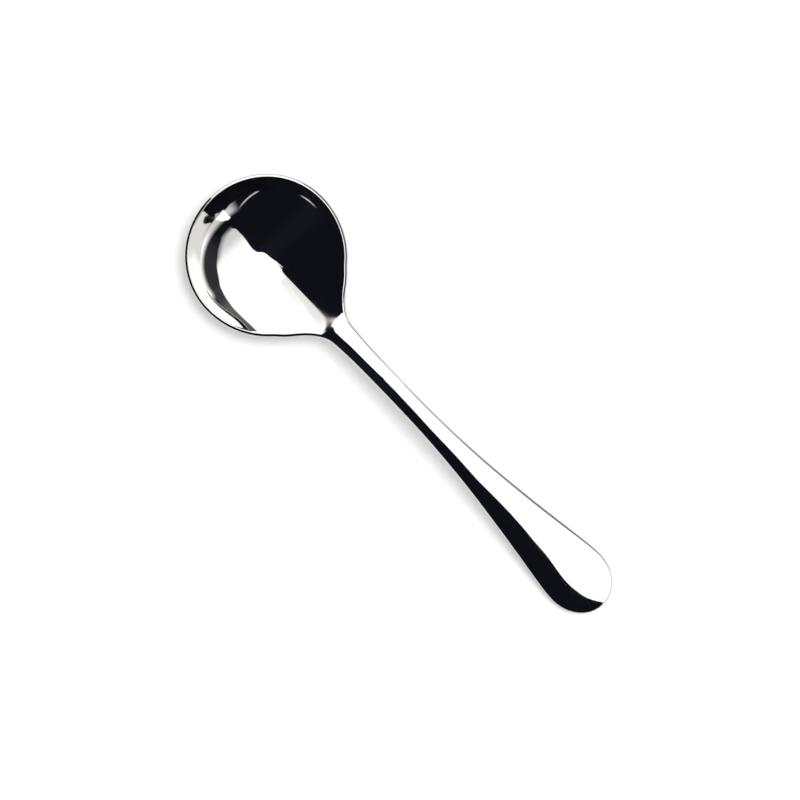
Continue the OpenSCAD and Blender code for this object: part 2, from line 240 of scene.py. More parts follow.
class SpoonSizes(bpy.types.PropertyGroup):
    """The sizes of the spoon, which are the part's but for the polished corner, and its colour."""

    overall_length: size_property("Length", (HIGH.x - LOW.x) / MM, "From the bowl's tip to the handle's end")
    bowl_width: size_property("Bowl width", (BOWL_HIGH.y - BOWL_LOW.y) / MM, "Greatest width over the rim")
    bowl_front_reach: size_property("Bowl front", 22.8, "From the tip to the bowl's widest point")
    bowl_back_length: size_property("Bowl back", 24.6, "From the widest point to the back of the round")
    rim_tip_height: size_property("Rim at the tip", BOWL_HIGH.z / MM, "Height of the rim at the tip")
    rim_side_height: size_property("Rim at the side", 12.2, "Height of the rim at the widest point")
    rim_neck_height: size_property("Rim at the neck", 12.9, "Height of the rim where the neck begins")
    rim_width: size_property("Rim width", 0.9, "Width of the rim, seen from above")
    rim_thickness: size_property("Rim thickness", 1.6, "Height of the rim's outer face")
    rim_rounding: size_property("Rim rounding", 0.8, "Radius of the rounding at the rim's outer edge")
    polish_rounding: size_property("Polished corner", 0.2, "Size of the rounding at the rim's inner corner")
    floor_thickness: size_property("Floor", 1.2, "Thickness of the steel at the bottom of the bowl")
    rest_diameter: size_property("Rest", 7, "Diameter of the flat spot that the bowl rests on")
    ridge_reach: size_property("Ridge", 51, "From the tip to the ridge where the neck begins")
    joint_reach: size_property(
        "Joint", (HANDLE_LOW.x - LOW.x) / MM, "From the tip to where the handle begins")
    joint_width: size_property("Neck width", 9, "Width of the neck where the handle begins")
    neck_height: size_property("Neck height", 13.7, "Height of the neck's top where the handle begins")
    neck_thickness: size_property("Neck thickness", 3.2, "Thickness where the handle begins")
    neck_crown: size_property("Neck crown", 0.6, "Rise of the neck's top over its edges")
    neck_belly: size_property("Neck belly", 0.5, "Rise of the edges over the neck's underside")
    neck_rounding: size_property("Neck rounding", 1.4, "Radius of the rounding along the neck's edges")
    stem_width: size_property("Stem width", 6.7, "Width of the stem where it is narrowest")
    stem_thickness: size_property("Stem thickness", 3, "Thickness at the top of the arch")
    stem_crown: size_property("Stem crown", 0.7, "Rise of the stem's top over its edges")
    stem_belly: size_property("Stem belly", 0.5, "Rise of the edges over the stem's underside")
    stem_rounding: size_property("Stem rounding", 1.3, "Radius of the rounding along the stem's edges")
    arch_height: size_property("Arch height", HANDLE_HIGH.z / MM, "Height of the arch's top above the table")
    end_width: size_property(
        "End width", (HANDLE_HIGH.y - HANDLE_LOW.y) / MM, "Greatest width of the handle's end")
    end_round_length: size_property("End length", 11.5, "Length of the end that is rounded")
    end_thickness: size_property("End thickness", 2, "Thickness of the handle at its end")
    end_crown: size_property("End crown", 0.85, "Rise of the end's top over its edge")
    end_belly: size_property("End belly", 0.15, "Rise of the edge over the end's underside")
    end_rounding: size_property("End rounding", 0.6, "Radius of the rounding round the handle's end")
    steel_colour: colour_property("Steel", "#d3d1cf", "Colour of the polished steel")


class StudioSizes(bpy.types.PropertyGroup):
    """The colours of the studio, and the sizes and places of what stands in it."""

    floor_colour: colour_property("Floor", "#f4f4f4", "Colour of the floor")
    dark_cloth_colour: colour_property("Dark cloth", "#0d0f15", "Colour of the tent's dark side")
    floor_width: size_property("Floor width", 8000, "Width of the floor")
    tent_radius: size_property("Tent radius", 200, "Radius of the light tent across the spoon")
    tent_reach: size_property("Tent reach", 1600, "Half the length of the light tent along the spoon")
    card_height: size_property("Card height", 30, "Height of the white card above the floor")
    lamp_height: size_property("Lamp height", 1200, "Height of the lamp above the floor")
    lamp_offset: size_property("Lamp offset", 220, "How far to the bright side the lamp stands")
    lamp_diameter: size_property("Lamp diameter", 420, "Diameter of the lamp")
    lamp_power: bpy.props.FloatProperty(
        name="Lamp power", description="Power of the lamp", default=7.5, min=0, unit="POWER")
    camera_height: size_property("Camera height", 1000, "Height of the camera above the floor")


def ease(t):
    """A smooth step from 0 to 1."""
    t = np.clip(t, 0, 1)
    return t * t * (3 - 2 * t)


def spline(stations, first=None, last=None):
    """A function for the smooth curve through the stations. An end slope not given is its chord's."""
    x, y = np.array(stations, float).T
    run = np.diff(x)
    rise = np.diff(y) / run
    system = np.eye(len(x))
    slopes = np.zeros(len(x))
    slopes[0] = rise[0] if first is None else first
    slopes[-1] = rise[-1] if last is None else last
    for i in range(1, len(x) - 1):
        system[i, i - 1:i + 2] = run[i], 2 * (run[i - 1] + run[i]), run[i - 1]
        slopes[i] = 3 * (rise[i - 1] * run[i] + rise[i] * run[i - 1])
    slopes = np.linalg.solve(system, slopes)

    def value(at):
        i = np.clip(np.searchsorted(x, at, "right") - 1, 0, len(run) - 1)
        t = (at - x[i]) / run[i]
        return (y[i] * (1 + 2 * t) * (1 - t) ** 2 + run[i] * slopes[i] * t * (1 - t) ** 2
                + y[i + 1] * t * t * (3 - 2 * t) + run[i] * slopes[i + 1] * t * t * (t - 1))

    return value


def between(shares, x0, x1, y0, y1):
    """Stations at shares of the way from one pair of values to another."""
    return [[x0 + (x1 - x0) * a, y0 + (y1 - y0) * b] for a, b in shares]


def to_sheet(x, y, z):
    """Points of a sheet from their three coordinates."""
    return np.stack(np.broadcast_arrays(x, y, z), -1)


def outward(line, side):
    """Normals along a line of outline points, to its right where side is 1 and to its left where it is -1."""
    step = np.gradient(line, axis=0)
    normals = np.stack([step[:, 1], -step[:, 0]], 1) * side
    return normals / np.linalg.norm(normals, axis=1, keepdims=True)


def smoothed(values, spokes):
    """Values round a ring, averaged over about so many spokes to each side, the near ones weighing most."""
    reach = np.arange(-3 * spokes, 3 * spokes + 1)
    weights = np.exp(-0.5 * (reach / spokes) ** 2)
    return sum(w * np.roll(values, k) for k, w in zip(reach, weights)) / weights.sum()


def round_half_width(x, widest, length, half):
    """Half width at a reach, where an outline rounds off over a length from its widest reach."""
    return half * np.sqrt(np.clip(1 - ((x - widest) / length) ** 2, 0, 1))


class SpoonForm:
    """The spoon's surface, worked out from its sizes. A reach is a distance from the bowl's tip."""

    def __init__(self, sizes):
        s = self.sizes = sizes
        self.middle = np.array([s.bowl_front_reach, 0.0])
        self.bowl_half = s.bowl_width / 2
        self.joint_half = s.joint_width / 2
        self.stem_half = s.stem_width / 2
        self.end_half = s.end_width / 2
        self.flare_reach = s.bowl_front_reach + s.bowl_back_length * FLARE_SHARE
        self.arch_reach = s.joint_reach + (s.overall_length - s.joint_reach) * ARCH_SHARE
        self.end_reach = s.overall_length - s.end_round_length
        self.flank = self.flank_curve()
        self.top_line = self.top_curve()
        self.rim_line = self.rim_curve()

    def flank_curve(self):
        """Half width of the outline, from where the bowl's ellipse flares to the round of the end."""
        s = self.sizes
        narrowing = 1 - FLARE_SHARE ** 2
        flare_half = self.bowl_half * math.sqrt(narrowing)
        flare_slope = -flare_half / s.bowl_back_length * FLARE_SHARE / narrowing
        stations = [[self.flare_reach, flare_half]]
        stations += between(FLARE_SHARES, self.flare_reach, s.joint_reach, self.joint_half, flare_half)
        stations += [[s.joint_reach, self.joint_half]]
        stations += between(NECK_SHARES, s.joint_reach, self.end_reach, self.joint_half, self.stem_half)
        stations += between(BLADE_SHARES, s.joint_reach, self.end_reach, self.stem_half, self.end_half)
        stations += [[self.end_reach, self.end_half]]
        return spline(stations, flare_slope, 0)

    def top_curve(self):
        """Height of the top's middle line, from the ridge to the handle's end."""
        s = self.sizes
        tail_reach = s.overall_length - s.end_rounding
        tail_share = (tail_reach - self.end_reach) / s.end_round_length
        tail_height = s.end_thickness - s.end_belly * tail_share ** BELLY_POWER
        stations = [[s.ridge_reach, s.rim_neck_height], [s.joint_reach, s.neck_height]]
        stations += between(RISE_SHARES, s.joint_reach, s.overall_length, s.neck_height, s.arch_height)
        stations += [[self.arch_reach, s.arch_height]]
        stations += between(FALL_SHARES, s.joint_reach, s.overall_length, s.arch_height, tail_height)
        stations += [[tail_reach, tail_height]]
        return spline(stations)

    def rim_curve(self):
        """Height of the rim, from the tip to the edges of the neck."""
        s = self.sizes
        return spline([
            [0, s.rim_tip_height], [s.bowl_front_reach, s.rim_side_height],
            [s.ridge_reach, s.rim_neck_height], [s.joint_reach, s.neck_height - s.neck_crown]])

    def half_width(self, x):
        """Half width of the outline at a reach."""
        s = self.sizes
        front = round_half_width(x, s.bowl_front_reach, s.bowl_front_reach, self.bowl_half)
        back = round_half_width(x, s.bowl_front_reach, s.bowl_back_length, self.bowl_half)
        end = round_half_width(x, self.end_reach, s.end_round_length, self.end_half)
        places = [x < s.bowl_front_reach, x < self.flare_reach, x < self.end_reach]
        return np.select(places, [front, back, self.flank(x)], end)

    def along_handle(self, x, at_joint, at_arch, at_end):
        """Value at a reach of a size held at the joint, the arch and the end."""
        joint, arch = self.sizes.joint_reach, self.arch_reach
        rising = at_joint + (at_arch - at_joint) * ease((x - joint) / (arch - joint))
        falling = at_arch + (at_end - at_arch) * ease((x - arch) / (self.end_reach - arch))
        return np.where(x < arch, rising, falling)

    def crown(self, x):
        """Rise of the handle's top over its edges."""
        s = self.sizes
        return self.along_handle(x, s.neck_crown, s.stem_crown, s.end_crown)

    def belly(self, x):
        """Rise of the edges over the handle's underside."""
        s = self.sizes
        return self.along_handle(x, s.neck_belly, s.stem_belly, s.end_belly)

    def place_across(self, x, y):
        """How far a point lies from the middle towards the outline, from 0 to 1."""
        along = np.abs(y) / self.half_width(np.minimum(x, self.end_reach))
        round_end = np.hypot(y / self.end_half, (x - self.end_reach) / self.sizes.end_round_length)
        return np.minimum(1, np.where(x < self.end_reach, along, round_end))

    def top_height(self, x, y):
        """Height of the rim, of the neck's top or of the handle's top."""
        s = self.sizes
        crown = np.where(x < s.joint_reach, self.top_line(x) - self.rim_line(x), self.crown(x))
        crowned = self.top_line(x) - crown * self.place_across(x, y) ** CROWN_POWER
        return np.where(x < s.ridge_reach, self.rim_line(x), crowned)

    def under_height(self, x, y):
        """Height of the handle's underside."""
        s = self.sizes
        thickness = self.along_handle(x, s.neck_thickness, s.stem_thickness, s.end_thickness)
        return self.top_line(x) - thickness + self.belly(x) * self.place_across(x, y) ** BELLY_POWER

    def edge_growth(self, x):
        """Growth of the edge from the rim's thickness to the neck's, from 0 to 1."""
        return ease((x - self.flare_reach) / (self.sizes.joint_reach - self.flare_reach))

    def edge_rounding(self, x):
        """Radius of the rounding along the edge."""
        s = self.sizes
        rim = s.rim_rounding + (s.neck_rounding - s.rim_rounding) * self.edge_growth(x)
        handle = self.along_handle(x, s.neck_rounding, s.stem_rounding, s.end_rounding)
        return np.where(x < s.joint_reach, rim, handle)

    def lean(self, x, bulge, power, rim_angle):
        """Angle by which the top or the underside falls away from the middle where the edge begins."""
        half = self.half_width(np.clip(x, self.sizes.joint_reach, self.end_reach))
        share = 1 - EDGE_SHARE * self.edge_rounding(np.maximum(x, self.sizes.joint_reach)) / half
        angle = np.arctan(power * bulge * share ** (power - 1) / half)
        return math.radians(rim_angle) + (angle - math.radians(rim_angle)) * self.edge_growth(x)

    def top_lean(self, x):
        """Angle of the top where the edge begins."""
        return self.lean(x, self.crown(x), CROWN_POWER, RIM_SLOPE)

    def under_lean(self, x):
        """Angle of the underside where the edge ends."""
        return self.lean(x, self.belly(x), BELLY_POWER, WALL_ANGLE)

    def rim_fall(self, x):
        """Fall of the rim's top from its inner corner to its outer edge."""
        slope = math.radians(RIM_SLOPE)
        fall = (self.sizes.rim_width - self.sizes.rim_rounding * (1 - math.sin(slope))) * math.tan(slope)
        return fall * (1 - self.edge_growth(x))

    def rim_underside(self, x, y):
        """Height of the rim's lower edge, down to the neck's."""
        s = self.sizes
        rise = s.neck_belly * self.place_across(np.maximum(x, self.flare_reach), y) ** BELLY_POWER
        neck = s.neck_thickness - s.neck_crown - rise
        return self.rim_line(x) - s.rim_thickness - (neck - s.rim_thickness) * self.edge_growth(x)

    def bowl_outline(self):
        """Points of the bowl's outline, from the joint round the tip and back to the joint."""
        s = self.sizes
        flare = s.joint_reach + (self.flare_reach - s.joint_reach) * np.arange(FLARE_STEPS) / FLARE_STEPS
        flare_angle = math.acos(FLARE_SHARE)
        back_angle = flare_angle + (math.pi / 2 - flare_angle) * np.arange(BACK_STEPS) / BACK_STEPS
        back = s.bowl_front_reach + s.bowl_back_length * np.cos(back_angle)
        front_angle = math.pi / 2 * np.arange(FRONT_STEPS + 1) / FRONT_STEPS
        front = s.bowl_front_reach * (1 - np.sin(front_angle))
        reaches = np.concatenate([flare, back, front])
        side = np.stack([reaches, self.half_width(reaches)], 1)
        side[-1] = 0
        return np.concatenate([side, side[-2::-1] * [1, -1]])

    def ellipse_reach(self, spokes, inset):
        """Distance from the bowl's middle to its plain ellipse, drawn in by an inset, along the spokes."""
        s = self.sizes
        length = np.where(spokes[:, 0] < 0, s.bowl_front_reach, s.bowl_back_length) - inset
        return 1 / np.hypot(spokes[:, 0] / length, spokes[:, 1] / (self.bowl_half - inset))


def wall_rise(t):
    """Rise of a round wall at share t of its radius, from 0 to 1."""
    sine, cosine = math.sin(math.radians(WALL_ANGLE)), math.cos(math.radians(WALL_ANGLE))
    return (1 - np.sqrt(1 - (sine * t) ** 2)) / (1 - cosine)


def filling(spokes, t, share, power, angle, core_angle):
    """Rise added at share t of the spokes, which fills the bowl's back towards the neck."""
    away = np.degrees(np.abs(np.arctan2(spokes[:, 1], spokes[:, 0])))
    part = share * ease((angle - away) / (angle - core_angle))
    return part[:, None] * t ** power * (1 - t)


def hollow_sheet(form, arms, corner_z):
    """The hollow, along arms from its middle to the rim's inner corner or the ridge."""
    s = form.sizes
    length = np.linalg.norm(arms, axis=1)
    spokes = arms / length[:, None]
    ellipse = form.ellipse_reach(spokes, s.rim_width)
    gap = length - ellipse
    broad_gap = smoothed(gap, FLARE_SPOKES)
    last = 1 - s.polish_rounding / length
    t = last[:, None] * np.arange(HOLLOW_RINGS + 1) / HOLLOW_RINGS
    spread = broad_gap[:, None] + (gap - broad_gap)[:, None] * t ** CORNER_POWER
    radius = t * (ellipse[:, None] + spread * t ** SPREAD_POWER)
    rise = wall_rise(t) + filling(spokes, t, **RAMP)
    return to_sheet(
        form.middle[0] + spokes[:, :1] * radius, spokes[:, 1:] * radius,
        s.floor_thickness + (corner_z - s.floor_thickness)[:, None] * rise)


def land_sheet(form, corner, outer, fall):
    """The flat top of the rim and of the neck, from just past the corner to where the edge begins."""
    across = outer - corner
    width = np.linalg.norm(across, axis=1)
    start = np.minimum(form.sizes.polish_rounding, width / 2) / width
    place = start[:, None] + (1 - start)[:, None] * np.arange(LAND_STEPS + 1) / LAND_STEPS
    x = corner[:, :1] + across[:, :1] * place
    y = corner[:, 1:] + across[:, 1:] * place
    return to_sheet(x, y, form.top_height(x, y) - fall[:, None] * place)


def polished_corner(hollow, corner, land):
    """The corner between the hollow and the land, as polishing rounds it."""
    bend = np.arange(1, CORNER_STEPS)[:, None] / CORNER_STEPS
    return (hollow[:, -1:] * (1 - bend) ** 2 + corner[:, None] * (2 * bend * (1 - bend))
            + land[:, :1] * bend ** 2)


def rounded_edge(line, normals, radius, first, last, top_z, under_z):
    """Points round the edge at each outline point, from the top's lean to the underside's."""
    first, last = first[:, None], last[:, None]
    turn = first + (math.pi - first - last) * np.arange(EDGE_STEPS + 1) / EDGE_STEPS
    sink = radius[:, None] * (1 - np.sin(turn))
    drop = (np.cos(first) - np.cos(turn)) / (np.cos(first) + np.cos(last))
    return to_sheet(
        line[:, :1] - normals[:, :1] * sink, line[:, 1:] - normals[:, 1:] * sink,
        top_z[:, None] + (under_z - top_z)[:, None] * drop)


def under_sheet(form, arms, low_z):
    """The bowl's underside, along arms from its edge to the middle of the flat spot that it rests on."""
    s = form.sizes
    reach = np.linalg.norm(arms, axis=1)
    spokes = arms / reach[:, None]
    plain = form.ellipse_reach(spokes, s.rim_rounding * (1 - math.sin(math.radians(WALL_ANGLE))))
    rest = s.rest_diameter / 2 / reach
    t = 1 - (1 - rest)[:, None] * np.arange(UNDER_RINGS + 1) / UNDER_RINGS
    radius = t * (plain[:, None] + (reach - plain)[:, None] * t ** SPREAD_POWER)
    radius[:, -1] = s.rest_diameter / 2
    base = wall_rise(rest)[:, None]
    rise = (wall_rise(t) - base) / (1 - base) + filling(spokes, t, **RAMP) + filling(spokes, t, **HEEL)
    rise[:, -1] = 0
    sheet = to_sheet(
        form.middle[0] + spokes[:, :1] * radius, spokes[:, 1:] * radius, low_z[:, None] * rise)
    middle = np.broadcast_to([form.middle[0], 0, 0], (len(sheet), 1, 3))
    return np.concatenate([sheet, middle], axis=1)


def closed(sheet):
    """A sheet whose last row is its first again."""
    return np.concatenate([sheet, sheet[:1]])


def bowl_sheets(form):
    """The bowl's hollow and rim top, its rounded edge, and its underside, as sheets of points."""
    s = form.sizes
    line = form.bowl_outline()
    reach = line[:, 0]
    normals = outward(line, 1)
    normals[0], normals[-1] = (0, 1), (0, -1)
    rounding = form.edge_rounding(reach)
    first, last = form.top_lean(reach), form.under_lean(reach)
    rim_top = line - normals * (rounding * (1 - np.sin(first)))[:, None]
    rim_low = line - normals * (rounding * (1 - np.sin(last)))[:, None]

    # Points across the joint close the ring of outline points.
    columns = np.arange(1, NECK_COLUMNS) / NECK_COLUMNS * 2 - 1
    joint = np.full(NECK_COLUMNS - 1, s.joint_reach)
    neck_top = np.stack([joint, columns * rim_top[0, 1]], 1)
    neck_low = np.stack([joint, columns * rim_low[0, 1]], 1)

    # The hollow ends at the rim's inner corner, or at the ridge where an arm would run past it.
    arms = np.concatenate([line - normals * s.rim_width, neck_top]) - form.middle
    ridge = s.ridge_reach - form.middle[0]
    past = arms[:, 0] > ridge
    arms[past] *= (ridge / arms[past, 0])[:, None]
    corner = arms + form.middle
    corner_z = form.top_height(corner[:, 0], corner[:, 1])
    hollow = hollow_sheet(form, arms, corner_z)
    fall = np.concatenate([form.rim_fall(reach), joint * 0])
    land = land_sheet(form, corner, np.concatenate([rim_top, neck_top]), fall)
    bend = polished_corner(hollow, to_sheet(corner[:, 0], corner[:, 1], corner_z), land)
    top = np.concatenate([hollow, bend, land], axis=1)

    low_z = np.concatenate([
        form.rim_underside(reach, rim_low[:, 1]), form.under_height(joint, neck_low[:, 1])])
    edge = rounded_edge(line, normals, rounding, first, last, top[:len(line), -1, 2], low_z[:len(line)])
    under = under_sheet(form, np.concatenate([rim_low, neck_low]) - form.middle, low_z)
    return closed(top), edge, closed(under)


def handle_sheet(form):
    """The handle's skin, in loops round its section from the joint to the end."""
    s = form.sizes
    stem = s.joint_reach + (form.end_reach - s.joint_reach) * np.arange(STEM_LOOPS) / STEM_LOOPS
    end_angle = math.pi / 2 * np.arange(END_LOOPS + 1) / END_LOOPS
    x = np.concatenate([stem, form.end_reach + s.end_round_length * np.sin(end_angle)])
    line = np.stack([x, form.half_width(x)], 1)
    line[-1, 1] = 0
    normals = outward(line, -1)
    normals[0], normals[-1] = (0, 1), (1, 0)
    radius = form.edge_rounding(x)
    first, last = form.top_lean(x), form.under_lean(x)
    top = line - normals * (radius * (1 - np.sin(first)))[:, None]
    low = line - normals * (radius * (1 - np.sin(last)))[:, None]
    top[-1, 1] = low[-1, 1] = 0
    columns = np.arange(NECK_COLUMNS + 1) / NECK_COLUMNS * 2 - 1
    top_y, low_y = top[:, 1:] * columns, low[:, 1:] * columns[::-1]
    over = to_sheet(top[:, :1], top_y, form.top_height(top[:, :1], top_y))
    below = to_sheet(low[:, :1], low_y, form.under_height(low[:, :1], low_y))
    near = rounded_edge(line, normals, radius, first, last, over[:, -1, 2], below[:, 0, 2])[:, 1:-1]
    far = near[:, ::-1] * [1, -1, 1]
    return np.concatenate([over, near, below, far, over[:, :1]], axis=1)


def card_sheet(height):
    """The white card, level over the handle, as a sheet of points."""
    reach = np.linspace(CARD_NEAR_EDGE[0][0], CARD_NEAR_EDGE[-1][0], CARD_REACHES) * MM
    near = spline(np.array(CARD_NEAR_EDGE) * MM, 0, CARD_END_SLOPE)(reach)
    far = spline(np.array(CARD_FAR_EDGE) * MM, 0, 0)(reach)
    across = np.arange(CARD_COLUMNS) / (CARD_COLUMNS - 1)
    return to_sheet(reach[:, None], near[:, None] + (far - near)[:, None] * across, height)


def deselect():
    """Leaves nothing selected."""
    bpy.ops.object.select_all(action="DESELECT")


def press_sheet(name, points):
    """Adds a flat grid with a corner for each point and presses it to those points."""
    # The grid runs from -1 to 1 both ways, so a corner's place gives its row and column.
    rows, columns = points.shape[:2]
    deselect()
    bpy.ops.mesh.primitive_grid_add(x_subdivisions=rows - 1, y_subdivisions=columns - 1, size=2)
    sheet = bpy.context.object
    sheet.name = name
    mesh = sheet.data
    flat = np.zeros(len(mesh.vertices) * 3)
    mesh.vertices.foreach_get("co", flat)
    flat = flat.reshape(-1, 3)
    row = np.rint((flat[:, 0] + 1) / 2 * (rows - 1)).astype(int)
    column = np.rint((flat[:, 1] + 1) / 2 * (columns - 1)).astype(int)
    mesh.vertices.foreach_set("co", points[row, column].ravel())
    mesh.update()
    return sheet


def weld(sheets, name):
    """Joins the sheets and welds them where they meet, with all faces outwards."""
    deselect()
    for sheet in sheets:
        sheet.select_set(True)
    bpy.context.view_layer.objects.active = sheets[0]
    bpy.ops.object.join()
    piece = bpy.context.object
    piece.name = name
    piece.data.name = name
    bpy.ops.object.mode_set(mode="EDIT")
    bpy.ops.mesh.select_all(action="SELECT")
    bpy.ops.mesh.remove_doubles(threshold=WELD_DISTANCE)
    bpy.ops.mesh.normals_make_consistent(inside=False)
    bpy.ops.object.mode_set(mode="OBJECT")
    return piece


def add_node(tree, kind, inputs=None, **settings):
    """Adds a node with its settings. An input is a value, an output, or a node for its first output."""
    made = tree.nodes.new(kind)
    for name, value in settings.items():
        setattr(made, name, value)
    for socket, value in (inputs or {}).items():
        if isinstance(value, bpy.types.Node):
            value = value.outputs[0]
        if isinstance(value, bpy.types.NodeSocket):
            tree.links.new(value, made.inputs[socket])
        else:
            made.inputs[socket].default_value = value
    return made


def new_material(name):
    """An empty material and its node tree."""
    material = bpy.data.materials.new(name)
    material.use_nodes = True
    material.node_tree.nodes.clear()
    return material, material.node_tree


def faded(tree, axes, rows):
    """The product of smooth steps, each of which follows one of the axes."""
    product = None
    for axis, start, end, *values in rows:
        before, after = [faded(tree, axes, value) if isinstance(value, list) else value for value in values]
        step = add_node(
            tree, "ShaderNodeMapRange",
            {"Value": axes[axis], "From Min": start, "From Max": end, "To Min": before, "To Max": after},
            interpolation_type="SMOOTHSTEP")
        if product is None:
            product = step
        else:
            product = add_node(tree, "ShaderNodeMath", {0: product, 1: step}, operation="MULTIPLY")
    return product


def polished_steel(colour):
    """Stainless steel, pressed and then polished to a mirror."""
    # A polished metal shows what stands round it, tinted a faint warm grey. Wiping has left cloudy
    # patches of some 9 mm, which blur the picture a little, and hairlines along the spoon, which blur
    # it more. Real hairlines are hundredths of a millimetre wide. They are drawn coarser, to show.
    material, tree = new_material("mirror_polished_steel")
    place = add_node(tree, "ShaderNodeTexCoord").outputs["Object"]
    haze = add_node(
        tree, "ShaderNodeTexNoise", {"Vector": place, "Scale": 1 / HAZE_SIZE, "Detail": 3, "Roughness": 0.6})
    stretch = [1 / HAIR_LENGTH, 1 / HAIR_WIDTH, 1 / HAIR_WIDTH]
    stretched = add_node(tree, "ShaderNodeMapping", {"Vector": place, "Scale": stretch})
    hairs = add_node(
        tree, "ShaderNodeTexNoise", {"Vector": stretched, "Scale": 1, "Detail": 2, "Roughness": 0.6})
    axes = {"haze": haze, "hairs": hairs}
    dull, scratched = faded(tree, axes, HAZE), faded(tree, axes, HAIRLINES)
    roughness = add_node(tree, "ShaderNodeMath", {0: dull, 1: scratched}, operation="ADD")
    steel = add_node(
        tree, "ShaderNodeBsdfPrincipled", {"Base Color": colour, "Metallic": 1, "Roughness": roughness})
    add_node(tree, "ShaderNodeOutputMaterial", {"Surface": steel})
    return material


def seen_directly(tree):
    """A value of 1 for what the camera sees, also in metal or through glass, and otherwise 0."""
    path = add_node(tree, "ShaderNodeLightPath").outputs
    seen = add_node(
        tree, "ShaderNodeMath", {0: path["Is Camera Ray"], 1: path["Is Glossy Ray"]}, operation="ADD")
    return add_node(
        tree, "ShaderNodeMath", {0: seen, 1: path["Is Transmission Ray"]}, operation="ADD", use_clamp=True)


def floor_paper(colour):
    """White seamless paper."""
    # Matt paper scatters light evenly, so it shows the spoon's shadow softly. A slight glow where it is
    # seen takes the rest of it to pure white.
    material, tree = new_material("white_seamless_paper")
    paper = add_node(tree, "ShaderNodeBsdfDiffuse", {"Color": colour})
    strength = add_node(tree, "ShaderNodeMath", {0: seen_directly(tree), 1: FLOOR_GLOW}, operation="MULTIPLY")
    glow = add_node(tree, "ShaderNodeEmission", {"Color": WHITE, "Strength": strength})
    both = add_node(tree, "ShaderNodeAddShader", {0: paper, 1: glow})
    add_node(tree, "ShaderNodeOutputMaterial", {"Surface": both})
    return material


def tent_cloth(dark):
    """The inside of the light tent: lit white cloth on the spoon's bright side, dark cloth on the other."""
    # Polished steel shows the cloth so small that its weave is lost, and only white and dark are left.
    # The bowl is hollow and shows the tent turned round: its wall on the dark side shows the white panel,
    # the panel's far seam and the strip below it.
    material, tree = new_material("tent_cloth")
    place = add_node(tree, "ShaderNodeTexCoord").outputs["Object"]
    unit = add_node(tree, "ShaderNodeVectorMath", {0: place}, operation="NORMALIZE")
    x, y, z = add_node(tree, "ShaderNodeSeparateXYZ", {0: unit}).outputs
    along = add_node(tree, "ShaderNodeMath", {0: x, 1: 0.5, 2: 0.5}, operation="MULTIPLY_ADD")
    seams = []
    for stations in (RIDGE_SEAM, FAR_SEAM):
        seam = add_node(tree, "ShaderNodeFloatCurve", {"Value": along})
        points = seam.mapping.curves[0].points
        for at, value in stations[1:-1]:
            points.new(at, value)
        points[0].location = stations[0]
        points[-1].location = stations[-1]
        for point in points:
            point.handle_type = "AUTO_CLAMPED"
        seam.mapping.update()
        seams.append(seam)
    ridge, far = seams
    across = add_node(tree, "ShaderNodeMath", {0: y, 1: 1 / RIDGE_SWING, 2: 0.5}, operation="MULTIPLY_ADD")
    slope = add_node(tree, "ShaderNodeMath", {0: y, 1: SLIVER_LEAN, 2: z}, operation="MULTIPLY_ADD")
    axes = {
        "x": x,
        "y": y,
        "past_ridge": add_node(tree, "ShaderNodeMath", {0: across, 1: ridge}, operation="SUBTRACT"),
        "in_panel": add_node(tree, "ShaderNodeMath", {0: z, 1: far}, operation="SUBTRACT"),
        "strip_height": add_node(
            tree, "ShaderNodeMath", {0: y, 1: STRIP_LEAN, 2: z}, operation="MULTIPLY_ADD"),
        "on_sliver": add_node(
            tree, "ShaderNodeMath", {0: slope, 1: SLIVER_HEIGHT, 2: SLIVER_HALF_WIDTH}, operation="COMPARE"),
    }
    whiteness = faded(tree, axes, WHITE_PANEL)
    for rows in (LOW_STRIP, THIN_SLIVER, DIM_CLOTH):
        whiteness = add_node(
            tree, "ShaderNodeMath", {0: whiteness, 1: faded(tree, axes, rows)}, operation="MAXIMUM")
    # The Mix node's inputs 6 and 7 and its output 2 are its colours.
    tone = add_node(tree, "ShaderNodeMix", {0: whiteness, 6: dark, 7: WHITE}, data_type="RGBA").outputs[2]
    cloth = add_node(
        tree, "ShaderNodeEmission", {"Color": tone, "Strength": faded(tree, axes, CLOTH_STRENGTH)})
    add_node(tree, "ShaderNodeOutputMaterial", {"Surface": cloth})
    return material


def white_card():
    """Lit white card."""
    # Card lit evenly shows in the handle as a plain white with a sharp edge.
    material, tree = new_material("white_card")
    card = add_node(tree, "ShaderNodeEmission", {"Color": WHITE, "Strength": CARD_STRENGTH})
    add_node(tree, "ShaderNodeOutputMaterial", {"Surface": card})
    return material


def hang_backdrop(scene):
    """A white backdrop beyond the floor."""
    world = bpy.data.worlds.new("studio_white")
    scene.world = world
    world.use_nodes = True
    tree = world.node_tree
    tree.nodes.clear()
    strength = add_node(
        tree, "ShaderNodeMapRange", {"Value": seen_directly(tree), "To Min": UNSEEN_BACKDROP, "To Max": 1})
    back = add_node(tree, "ShaderNodeBackground", {"Color": WHITE, "Strength": strength})
    add_node(tree, "ShaderNodeOutputWorld", {"Surface": back})


def lay_floor(studio):
    """The floor that the spoon lies on."""
    deselect()
    bpy.ops.mesh.primitive_plane_add(size=studio.floor_width)
    floor = bpy.context.object
    floor.name = "floor"
    floor.data.materials.append(floor_paper(studio.floor_colour))
    return floor


